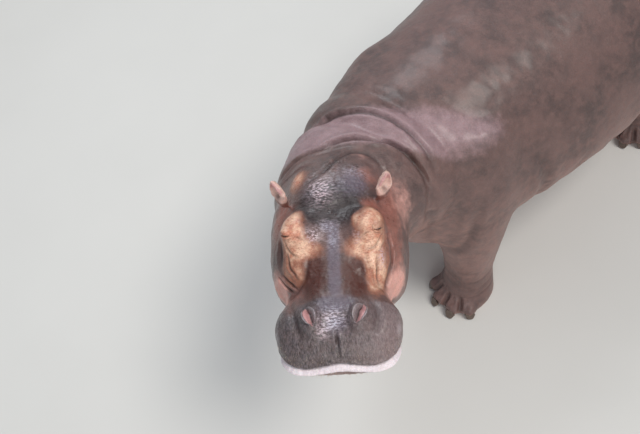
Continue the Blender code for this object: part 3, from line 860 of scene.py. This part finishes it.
def make_hide():
    """The one skin over all the flesh: smooth, with finer faces where it is seen from close by."""
    skin = fused_flesh()
    mesh = skin.data
    world = places_of(mesh)
    places = in_head(world)
    on_head = ramp(0.34, 0.16, places[:, 1]) * ramp(-0.75, -0.6, places[:, 2])
    on_neck = ramp(0.85, 0.6, places[:, 1]) * ramp(0.8, 0.95, world[:, 2])
    on_foot = ramp(0.3, 0.12, world[:, 2])
    on_leg = ramp(0.62, 0.45, world[:, 2])
    on_tail = ramp(1.42, 1.46, world[:, 1])
    fine = np.maximum.reduce([on_head, 0.9 * on_neck, on_foot, 0.6 * on_leg, on_tail])
    smoothed(mesh, 1 - fine, 90)
    smoothed(mesh, np.clip(1 - on_head - on_tail - 0.5 * on_foot, 0, 1), 10)
    smoothed(mesh, np.where(on_tail > 0.5, 0.5, 0.8), 5)
    for low, rounds in ((0.2, 4), (-0.08, 3)):
        places = in_head(places_of(mesh))
        refine(mesh, (places[:, 1] < low) & (places[:, 2] > -0.36))
        places = in_head(places_of(mesh))
        smoothed(mesh, (places[:, 1] < low).astype(float), rounds)
    for side in SIDES.values():
        inside = in_ear(in_head(places_of(mesh)), side)
        refine(mesh, (np.abs(inside[:, :2]).max(1) < 0.052) & (inside[:, 2] > -0.015))
    refine(mesh, places_of(mesh)[:, 2] < 0.15)
    for reach in (0.055, 0.05):
        places = in_head(places_of(mesh))
        places[:, 0] = np.abs(places[:, 0])
        refine(mesh, np.linalg.norm(places - np.array(EYE_IN_HEAD), axis=1) < reach)
    sculpt(skin)
    mesh.shade_smooth()
    return skin


def sculpt(skin):
    """Shapes the body and then the head, and paints the zones of its tones."""
    body = Sculptor(skin, Matrix.Translation((MIDDLE_X, 0, 0)))
    for shaping in (body_folds, rings_of_the_legs, parted_toes, wrinkled_body):
        shaping(body)
        body.write()
    hide = Sculptor(skin, HEAD)
    hide.crease = body.crease
    hide.pink = np.zeros(len(skin.data.vertices))
    hide.rims = np.zeros(len(skin.data.vertices))
    for name, side in SIDES.items():
        drawn_to_ear(hide, name, side)
        shaped_ear(hide, side)
        hide.write()
    for shaping in (neck_rolls, brow_and_nape, cheek_folds, snout_folds, mouth, eye_folds):
        shaping(hide)
        hide.write()
    for side in SIDES.values():
        nostril(hide, side)
        eyelids(hide, side)
    wrinkled_head(hide)
    hide.write()
    paint_zones(skin.data, hide)


# Materials


def colour(red, green, blue):
    """A screen colour, from 0 to 255, as a shader takes it."""
    return tuple((channel / 255) ** 2.2 for channel in (red, green, blue))


# Screen colours: the two tones between which each part varies.
PALETTE = {
    "back": ((84, 66, 64), (112, 86, 82)),
    "under": ((160, 112, 102), (196, 150, 138)),
    "ruddy": ((108, 62, 52), (182, 118, 104)),
    "snout": ((62, 28, 21), (98, 52, 40)),
    "dark": ((22, 11, 10), (52, 33, 34)),
    "stipple": ((50, 44, 46), (110, 99, 103)),
    "sunlit": ((112, 90, 90), (176, 152, 152)),
    "lilac": ((84, 75, 86), (126, 114, 130)),
    "blush": ((200, 136, 124), (242, 188, 176)),
    "mauve": ((118, 92, 96), (182, 152, 156)),
    "tan": ((128, 76, 58), (178, 122, 98)),
    "cream": ((214, 144, 117), (253, 208, 178)),
    "ear": ((214, 166, 154), (242, 206, 194)),
    # The painted highlights' two tones: warm, and cool where the skin is lilac.
    "glint": ((240, 212, 220), (212, 214, 234)),
    "lip": ((224, 206, 212), (250, 242, 250)),
    "horn": ((66, 54, 50), (116, 100, 90)),
    "iris": ((44, 22, 12), (104, 62, 34)),
    "bristle_pale": ((150, 120, 104), (226, 210, 190)),
    "bristle_dark": ((40, 30, 28), (70, 54, 48)),
}


class Graph:
    """Builds one material's nodes; an input takes a number, a colour or another node's output."""

    def __init__(self, name):
        self.material = bpy.data.materials.new(name)
        self.material.use_nodes = True
        self.nodes = self.material.node_tree.nodes
        self.links = self.material.node_tree.links
        self.shader = self.nodes["Principled BSDF"]
        self.place = self.add("ShaderNodeTexCoord").outputs["Object"]

    def add(self, kind, **settings):
        node = self.nodes.new(kind)
        for name, value in settings.items():
            setattr(node, name, value)
        return node

    def feed(self, socket, value):
        if isinstance(value, bpy.types.NodeSocket):
            self.links.new(value, socket)
        elif socket.type == "RGBA":
            socket.default_value = (*value, 1)
        else:
            socket.default_value = value

    def math(self, operation, first, second=0.0):
        node = self.add("ShaderNodeMath", operation=operation)
        self.feed(node.inputs[0], first)
        self.feed(node.inputs[1], second)
        return node.outputs[0]

    def times(self, first, second):
        return self.math("MULTIPLY", first, second)

    def mix(self, share, first, second):
        node = self.add("ShaderNodeMix", data_type="RGBA")
        self.feed(node.inputs["Factor"], share)
        self.feed(node.inputs[6], first)
        self.feed(node.inputs[7], second)
        return node.outputs[2]

    def layers(self, tone, *layers):
        """Lays colours over the tone, one after the other, each with its share of the mixture."""
        for share, laid in layers:
            tone = self.mix(share, tone, laid)
        return tone

    def tint(self, name, share):
        """A colour between the two of the palette that go by the name."""
        first, second = PALETTE[name]
        return self.mix(share, colour(*first), colour(*second))

    def ramp(self, value, low, high, start=0.0, end=1.0):
        """Rises or falls smoothly from start to end as the value goes from low to high."""
        node = self.add("ShaderNodeMapRange", interpolation_type="SMOOTHSTEP")
        for socket, number in zip(node.inputs, (value, low, high, start, end)):
            self.feed(socket, number)
        return node.outputs[0]

    def stretched(self, place, stretch):
        node = self.add("ShaderNodeMapping")
        self.feed(node.inputs["Vector"], place)
        node.inputs["Scale"].default_value = stretch
        return node.outputs[0]

    def noise(self, size, detail=3.0, place=None, stretch=(1, 1, 1)):
        """Noise from 0 to 1 with clumps of the given size in metres."""
        node = self.add("ShaderNodeTexNoise")
        self.feed(node.inputs["Vector"], self.stretched(place or self.place, stretch))
        node.inputs["Scale"].default_value = 1 / size
        node.inputs["Detail"].default_value = detail
        node.inputs["Roughness"].default_value = 0.6
        return node.outputs["Fac"]

    def cracks(self, size, place):
        """0 in the cracks between cells of the given size in metres, rising to 1 in the cells."""
        warp = self.add("ShaderNodeTexNoise")
        self.feed(warp.inputs["Vector"], place)
        warp.inputs["Scale"].default_value = 0.7 / size
        shift = self.add("ShaderNodeVectorMath", operation="SCALE")
        self.feed(shift.inputs[0], warp.outputs["Color"])
        shift.inputs["Scale"].default_value = 1.2 * size
        moved = self.add("ShaderNodeVectorMath", operation="ADD")
        self.feed(moved.inputs[0], place)
        self.feed(moved.inputs[1], shift.outputs[0])
        node = self.add("ShaderNodeTexVoronoi", feature="DISTANCE_TO_EDGE")
        self.feed(node.inputs["Vector"], moved.outputs[0])
        node.inputs["Scale"].default_value = 1 / size
        return self.ramp(node.outputs["Distance"], 0.0, 0.16)

    def painted(self, name):
        return self.add("ShaderNodeAttribute", attribute_name=name).outputs["Fac"]

    def broken(self, name, edge, amount=0.5, low=0.25, high=0.75):
        """A painted zone whose edge follows a noise, rising from 0 at low to 1 at high."""
        wander = self.times(self.math("SUBTRACT", edge, 0.5), amount)
        return self.ramp(self.math("ADD", self.painted(name), wander), low, high)

    def bump(self, height, depth):
        """Tilts the shading by a height from 0 to 1 that stands for depth, in metres."""
        node = self.add("ShaderNodeBump")
        self.feed(node.inputs["Height"], height)
        node.inputs["Distance"].default_value = depth
        self.feed(self.shader.inputs["Normal"], node.outputs[0])

    def set(self, **values):
        for name, value in values.items():
            self.feed(self.shader.inputs[name.replace("_", " ")], value)


def body_tone(graph, middle):
    """Brown grey above, in large clouds, and pinker underneath."""
    under = graph.times(graph.painted("under"), graph.ramp(middle, 0.2, 0.7, 0.45, 1.0))
    return graph.layers(
        graph.tint("back", graph.ramp(graph.noise(0.2, 5), 0.35, 0.65)),
        (graph.ramp(middle, 0.4, 0.7, 0.0, 0.6), colour(126, 97, 92)),
        (under, graph.tint("under", middle)),
    )


def stippled_tone(graph, middle, head_place):
    """The muzzle's short upright streaks, paler on the sunlit side."""
    streaks = graph.noise(0.006, 4, head_place, (1.6, 0.45, 0.45))
    return graph.layers(
        graph.tint("stipple", graph.ramp(streaks, 0.36, 0.64)),
        (graph.ramp(middle, 0.35, 0.65, 0.0, 0.25), colour(112, 88, 80)),
        (graph.times(graph.painted("sunlit"), 0.55), graph.tint("sunlit", streaks)),
    )


def head_tone(graph, tone, middle, small, sparks, head_place):
    """Lays the head's zones over the tone, with edges broken by noise."""
    cream = graph.tint("cream", graph.ramp(middle, 0.34, 0.62))
    cream = graph.mix(graph.ramp(small, 0.46, 0.7, 0.0, 0.5), cream, colour(186, 118, 98))
    wrinkles = graph.times(graph.ramp(sparks, 0.5, 0.64, 0.0, 0.5), graph.painted("pale"))
    # Painted highlights of wet skin, in flecks.
    glints = graph.times(graph.painted("painted_glint"), graph.ramp(sparks, 0.42, 0.64, 0.05, 0.88))
    return graph.layers(
        tone,
        (graph.broken("ruddy", middle, 0.6, 0.15, 0.9), graph.tint("ruddy", middle)),
        (graph.broken("snout", middle), graph.tint("snout", small)),
        (graph.broken("dark", middle, 0.6, 0.15, 0.62), graph.tint("dark", small)),
        (graph.broken("muzzle", small), stippled_tone(graph, middle, head_place)),
        (graph.times(graph.broken("lilac", small, 0.6), 0.75), graph.tint("lilac", small)),
        (graph.broken("blush", middle), graph.tint("blush", middle)),
        # The neck rolls' own tone, with painted sheen.
        (graph.broken("mauve", middle, 0.6, 0.2, 0.95), graph.tint("mauve", middle)),
        (graph.broken("pale", middle, 0.5, 0.12, 0.5), graph.tint("tan", small)),
        (graph.broken("pale", middle, 0.6, 0.38, 0.92), cream),
        (wrinkles, colour(166, 92, 70)),
        (graph.broken("ear", small, 0.3), graph.tint("ear", middle)),
        (glints, graph.tint("glint", graph.painted("lilac"))),
        (graph.ramp(graph.painted("lip"), 0.25, 0.8), graph.tint("lip", small)),
        (graph.ramp(graph.painted("pink"), 0.3, 0.7), colour(206, 150, 150)),
    )


def hide_material():
    """Bare hippopotamus skin: dark wet crown, reddish snout, pale orange round the eyes, whitish lip."""
    graph = Graph("hide")
    rotate = graph.add("ShaderNodeVectorRotate", rotation_type="Z_AXIS")
    graph.feed(rotate.inputs["Vector"], graph.place)
    rotate.inputs["Angle"].default_value = -HEAD_YAW
    head_place = rotate.outputs[0]
    middle = graph.noise(0.04, 6)
    small = graph.noise(0.011, 5)
    fine = graph.noise(0.0045, 4)
    sparks = graph.noise(0.011, 3, head_place, (0.7, 1.8, 1.5))
    cells = graph.cracks(0.0055, head_place)
    folds = graph.noise(0.045, 6, head_place, (0.5, 1.7, 1.0))

    tone = graph.layers(
        head_tone(graph, body_tone(graph, middle), middle, small, sparks, head_place),
        (graph.ramp(fine, 0.3, 0.7, 0.22, 0.0), colour(46, 34, 34)),
        # Painted shade in the cracks between the skin's cells.
        (graph.ramp(cells, 0.0, 0.7, 0.07, 0.0), colour(46, 32, 30)),
        # Painted shade in the creases, slits and hollows.
        (graph.times(graph.painted("crease"), 0.75), colour(44, 24, 22)),
    )
    drier = graph.times(graph.math("SUBTRACT", 1.0, graph.painted("head")), 0.12)
    dull = graph.math("ADD", graph.ramp(middle, 0.25, 0.75, 0.36, 0.52), drier)
    roughness = graph.math("SUBTRACT", dull, graph.times(graph.painted("wet"), 0.2))
    graph.set(Base_Color=tone, Roughness=roughness, Coat_Weight=0.28, Coat_Roughness=0.25)
    graph.set(Specular_IOR_Level=0.55, Subsurface_Weight=0.05, Subsurface_Scale=0.01)

    rippled = graph.math("MAXIMUM", graph.painted("wet"), graph.times(graph.painted("pale"), 0.8))
    height = graph.times(graph.times(sparks, rippled), 0.55)
    for relief, share in ((cells, 0.06), (small, 0.6), (folds, 1.1), (fine, 0.2)):
        height = graph.math("ADD", height, graph.times(relief, share))
    graph.bump(height, 0.005)
    return graph.material


def horn_material():
    """Worn hoof horn, streaked along its height."""
    graph = Graph("horn")
    streaks = graph.noise(0.006, 4, stretch=(1, 1, 0.15))
    worn = graph.noise(0.02, 4)
    tone = graph.tint("horn", streaks)
    tone = graph.mix(graph.ramp(worn, 0.5, 0.75, 0.0, 0.6), tone, colour(138, 122, 108))
    graph.set(Base_Color=tone, Roughness=graph.ramp(worn, 0.3, 0.7, 0.35, 0.6))
    graph.bump(streaks, 0.001)
    return graph.material


def eye_material():
    """A wet dark eye: black pupil, brown iris and a reddish rim, about its own z axis."""
    graph = Graph("eye_gloss")
    split = graph.add("ShaderNodeSeparateXYZ")
    graph.feed(split.inputs[0], graph.place)
    squares = [graph.times(split.outputs[axis], split.outputs[axis]) for axis in (0, 1)]
    radius = graph.math("SQRT", graph.math("ADD", *squares))
    iris = graph.tint("iris", graph.noise(0.0015, 4))
    tone = graph.mix(graph.ramp(radius, 0.0115, 0.0135), iris, colour(120, 70, 58))
    tone = graph.mix(graph.ramp(radius, 0.005, 0.0058), colour(6, 5, 6), tone)
    graph.set(Base_Color=tone, Roughness=0.06, Coat_Weight=1.0, Coat_Roughness=0.02)
    return graph.material


def floor_material():
    graph = Graph("floor")
    cloud = graph.noise(1.2, 3)
    graph.set(Base_Color=graph.mix(cloud, (0.6, 0.6, 0.585), (0.66, 0.66, 0.645)), Roughness=0.75)
    return graph.material


def bristle_material(name):
    graph = Graph(name)
    graph.set(Base_Color=graph.tint(name, graph.noise(0.01, 2)), Roughness=0.45)
    return graph.material


# Eyes, nails and bristles


def make_eye(name, side, material):
    """A smooth eyeball that looks along its own z axis."""
    shape = bmesh.new()
    bmesh.ops.create_uvsphere(shape, u_segments=48, v_segments=32, radius=EYE_RADIUS)
    mesh = mesh_of(name, shape)
    mesh.shade_smooth()
    mesh.materials.append(material)
    eye = new_object(f"{name}_ball", mesh)
    gaze = HEAD.to_3x3() @ Vector((GAZE.x * side, GAZE.y, GAZE.z))
    look = gaze.to_track_quat("Z", "Y").to_matrix().to_4x4()
    eye.matrix_world = Matrix.Translation(centre_of(name)) @ look
    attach(eye, "root")
    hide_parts(name)


def make_nail(name, material):
    """The nail's solid, rounded and worn, with a flat front that slopes out to its lower edge."""
    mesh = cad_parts[name].data.copy()
    nail = new_object(f"{name}_horn", mesh)
    remesh = nail.modifiers.new("even", "REMESH")
    remesh.mode = "VOXEL"
    remesh.voxel_size = NAIL_VOXEL
    applied(nail)
    smoothed(nail.data, np.ones(len(nail.data.vertices)), 6)
    places = places_of(nail.data)
    normals = read_vectors(nail.data.vertices, "normal")
    places += normals * (0.0016 + 0.0005 * wavy(places, (0.006, 0.006, 0.04), 1.7))[:, None]
    turn = math.radians(NAIL_TURNS[int(name[-1]) - 1])
    ahead = np.array((math.sin(turn), -math.cos(turn), 0))
    offset = places - np.array(centre_of(name))
    out = offset @ ahead
    flat = 0.006 * np.tanh(out / 0.006) - offset[:, 2] * 0.4
    places += ahead * ((flat - out) * ramp(-0.002, 0.006, out))[:, None]
    places[:, 2] = np.maximum(places[:, 2], 0.002)
    write_places(nail.data, places)
    nail.data.shade_smooth()
    nail.data.materials.clear()
    nail.data.materials.append(material)
    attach(nail, "root")
    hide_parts(name)


def bristle_ring(shape, hair, share):
    """The corners of a hair's outline, at a share of its length."""
    root, direction, length, radius, bend = hair
    across = direction.orthogonal().normalized()
    other = direction.cross(across)
    centre = root + direction * (length * share) + bend * (length * share * share)
    thick = radius * (1 - 0.75 * share)
    angles = [2 * math.pi * corner / BRISTLE_SIDES for corner in range(BRISTLE_SIDES)]
    spokes = [across * math.cos(angle) + other * math.sin(angle) for angle in angles]
    return [shape.verts.new(centre + spoke * thick) for spoke in spokes]


def bristle_mesh(name, hairs, unwrap):
    """Joins thin curved cones, each with a small patch of the OFBake map at its root's place."""
    shape = bmesh.new()
    layer = shape.loops.layers.uv.new("OFBake")
    shares = [step / BRISTLE_RINGS for step in range(BRISTLE_RINGS + 1)]
    for hair in hairs:
        root, direction, length, _, bend = hair
        corner = unwrap(root)
        rings = [bristle_ring(shape, hair, share) for share in shares[:-1]]
        tip = shape.verts.new(root + direction * length + bend * length)
        set_patch(shape.faces.new(rings[0][::-1]), layer, corner, 0.0, 0.1)
        for low, high, lower, upper in zip(shares, shares[1:], rings, rings[1:]):
            for index in range(BRISTLE_SIDES):
                after = (index + 1) % BRISTLE_SIDES
                face = shape.faces.new((lower[index], lower[after], upper[after], upper[index]))
                set_patch(face, layer, corner, low, high)
        for index in range(BRISTLE_SIDES):
            face = shape.faces.new((rings[-1][index], rings[-1][(index + 1) % BRISTLE_SIDES], tip))
            set_patch(face, layer, corner, *shares[-2:])
    mesh = mesh_of(name, shape)
    mesh.shade_smooth()
    return new_object(name, mesh)


def set_patch(face, layer, corner, low, high):
    """Lays a face on its bristle's square of the OFBake map, from low to high along the bristle."""
    u, v = corner
    for loop, (across, along) in zip(face.loops, ((0, low), (1, low), (1, high), (0, high))):
        loop[layer].uv = (u + across * PATCH, v + along * PATCH)


def head_unwrap(place):
    """A place on the head, unrolled round the snout's axis."""
    inside = HEAD.inverted() @ place
    angle = math.atan2(inside.x, inside.z + 0.16) / (2 * math.pi) + 0.5
    return 0.02 + 0.95 * angle, 0.02 + 0.95 * min(max((inside.y + 0.7) / 0.8, 0), 1)


def grown_hairs(skin, count, seed, length_at, lean):
    """Hairs at random vertices to which length_at gives a length, leaning by lean."""
    rng = random.Random(seed)
    mesh = skin.data
    world = places_of(mesh)
    normals = read_vectors(mesh.vertices, "normal")
    lengths = length_at(in_head(world))
    chosen = [int(index) for index in np.flatnonzero(lengths > 0)]
    hairs = []
    for index in rng.sample(chosen, min(count, len(chosen))):
        normal = Vector(normals[index])
        wander = Vector((rng.uniform(-1, 1), rng.uniform(-1, 1), rng.uniform(-1, 1))) * 0.35
        direction = (normal + lean + wander).normalized()
        length = lengths[index] * rng.uniform(0.6, 1.1)
        root = Vector(world[index]) - normal * BRISTLE_DEPTH
        hairs.append((root, direction, length, BRISTLE_RADIUS, lean * 0.25))
    return hairs


def lip_hairs(places):
    """Bristles of the upper lip's front and of the chin."""
    above = above_mouth(places)
    front = ramp(0.5, 0.58, -places[:, 1]) * lip_share(places)
    upper = (above > 0.008) & (above < 0.075)
    lower = (above < -0.03) & (above > -0.09)
    return np.where(front > 0.3, np.where(upper, 0.01, 0) + np.where(lower, 0.013, 0), 0)


def ear_hairs(places):
    """Short bristles all over the ears."""
    beside = np.abs(places[:, 0])
    near_ear = (beside > 0.15) & (beside < 0.26) & (np.abs(places[:, 1] - 0.015) < 0.05)
    return np.where(near_ear & (places[:, 2] > 0.015), 0.006, 0)


def make_bristles(skin):
    pale = bristle_material("bristle_pale")
    down = HEAD.to_3x3() @ Vector((0, -0.2, -0.5))
    outward = HEAD.to_3x3() @ Vector((0, 0.1, 0.4))
    sets = {
        "lip_bristles": grown_hairs(skin, LIP_BRISTLES, 11, lip_hairs, down),
        "ear_bristles": grown_hairs(skin, EAR_BRISTLES, 12, ear_hairs, outward),
    }
    for name, hairs in sets.items():
        piece = bristle_mesh(name, hairs, head_unwrap)
        piece.data.materials.append(pale)
        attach(piece, "root")


def make_tail_bristles(skin, material):
    """Stiff dark bristles, which grow denser towards the tail's tip."""
    rng = random.Random(21)
    world = places_of(skin.data)
    normals = read_vectors(skin.data.vertices, "normal")
    low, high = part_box("tail")
    behind = world[:, 1] > high[1] - 0.1
    near = np.flatnonzero((world[:, 2] < low[2] + TAIL_TUFT) & (world[:, 2] > low[2] - 0.01) & behind)
    thickening = [max(0.0, 1 - (world[index, 2] - low[2]) / TAIL_TUFT) for index in near]
    hairs = []
    for index in rng.choices([int(number) for number in near], thickening, k=TAIL_BRISTLES):
        normal = Vector(normals[index])
        direction = (normal * 0.6 + Vector((rng.uniform(-0.2, 0.2), 0, -0.9))).normalized()
        root = Vector(world[index]) - normal * BRISTLE_DEPTH
        length = rng.uniform(0.025, 0.045)
        hairs.append((root, direction, length, TAIL_BRISTLE_RADIUS, Vector((0, 0, -0.3))))

    def unwrap(place):
        across = (place.x - low[0]) / (high[0] - low[0])
        return 0.05 + 0.9 * across, 0.05 + 0.9 * (place.z - low[2] + 0.01) / TAIL_TUFT

    piece = bristle_mesh("tail_bristles", hairs, unwrap)
    piece.data.materials.append(material)
    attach(piece, "root")


# Scene


def camera():
    """Looks down on the head from its front, slightly from its left."""
    azimuth = math.radians(CAMERA_AZIMUTH)
    elevation = math.radians(CAMERA_ELEVATION)
    level = math.cos(elevation)
    turn = HEAD.to_3x3()
    back = turn @ Vector((math.sin(azimuth) * level, -math.cos(azimuth) * level, math.sin(elevation)))
    right = turn @ Vector((math.cos(azimuth), math.sin(azimuth), 0))
    axes = Matrix((right, back.cross(right), back)).transposed()
    axes = axes @ Matrix.Rotation(math.radians(CAMERA_ROLL), 3, "Z")
    made = bpy.data.cameras.new("camera")
    made.lens = CAMERA_LENS
    made.sensor_width = 36
    obj = new_object("camera", made)
    obj.matrix_world = Matrix.Translation(HEAD @ CAMERA_PLACE) @ axes.to_4x4()
    bpy.context.scene.camera = obj


def area_light(name, place, target, size, power, tint):
    made = bpy.data.lights.new(name, "AREA")
    made.energy = power
    made.size = size
    made.color = tint
    obj = new_object(name, made)
    obj.location = place
    obj.rotation_euler = (target - place).to_track_quat("-Z", "Y").to_euler()


def studio():
    """A pale floor and world, a soft sun over the head's left, a lamp behind it and one before it."""
    mesh = bpy.data.meshes.new("floor")
    corners = [(x * FLOOR_REACH, y * FLOOR_REACH, 0) for x, y in ((-1, -1), (1, -1), (1, 1), (-1, 1))]
    mesh.from_pydata(corners, [], [(0, 1, 2, 3)])
    mesh.materials.append(floor_material())
    new_object("floor", mesh)
    world = bpy.data.worlds.new("studio")
    world.use_nodes = True
    background = world.node_tree.nodes["Background"]
    background.inputs["Color"].default_value = (0.88, 0.93, 1.0, 1)
    background.inputs["Strength"].default_value = WORLD_LIGHT
    bpy.context.scene.world = world
    bpy.context.scene.view_settings.view_transform = "Standard"
    sun = bpy.data.lights.new("key", "SUN")
    sun.energy = SUN_POWER
    sun.angle = SUN_SPREAD
    sun.color = (1.0, 0.96, 0.9)
    key = new_object("key", sun)
    key.rotation_euler = (HEAD.to_3x3() @ SUN_FROM).to_track_quat("Z", "Y").to_euler()
    face = HEAD @ Vector((0, -0.25, -0.1))
    area_light("sky", HEAD @ SKY_PLACE, face, 1.8, 70, (0.92, 0.96, 1.0))
    area_light("fill", HEAD @ FILL_PLACE, face, 2.0, 30, (1.0, 0.97, 0.93))


def main():
    skin = make_hide()
    skin.data.materials.clear()
    skin.data.materials.append(hide_material())
    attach(skin, "root")
    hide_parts(*FLESH)
    eye = eye_material()
    for name, side in SIDES.items():
        make_eye(f"eye_{name}", side, eye)
    horn = horn_material()
    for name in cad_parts:
        if name.startswith("nail_"):
            make_nail(name, horn)
    make_bristles(skin)
    make_tail_bristles(skin, bristle_material("bristle_dark"))
    camera()
    studio()


main()
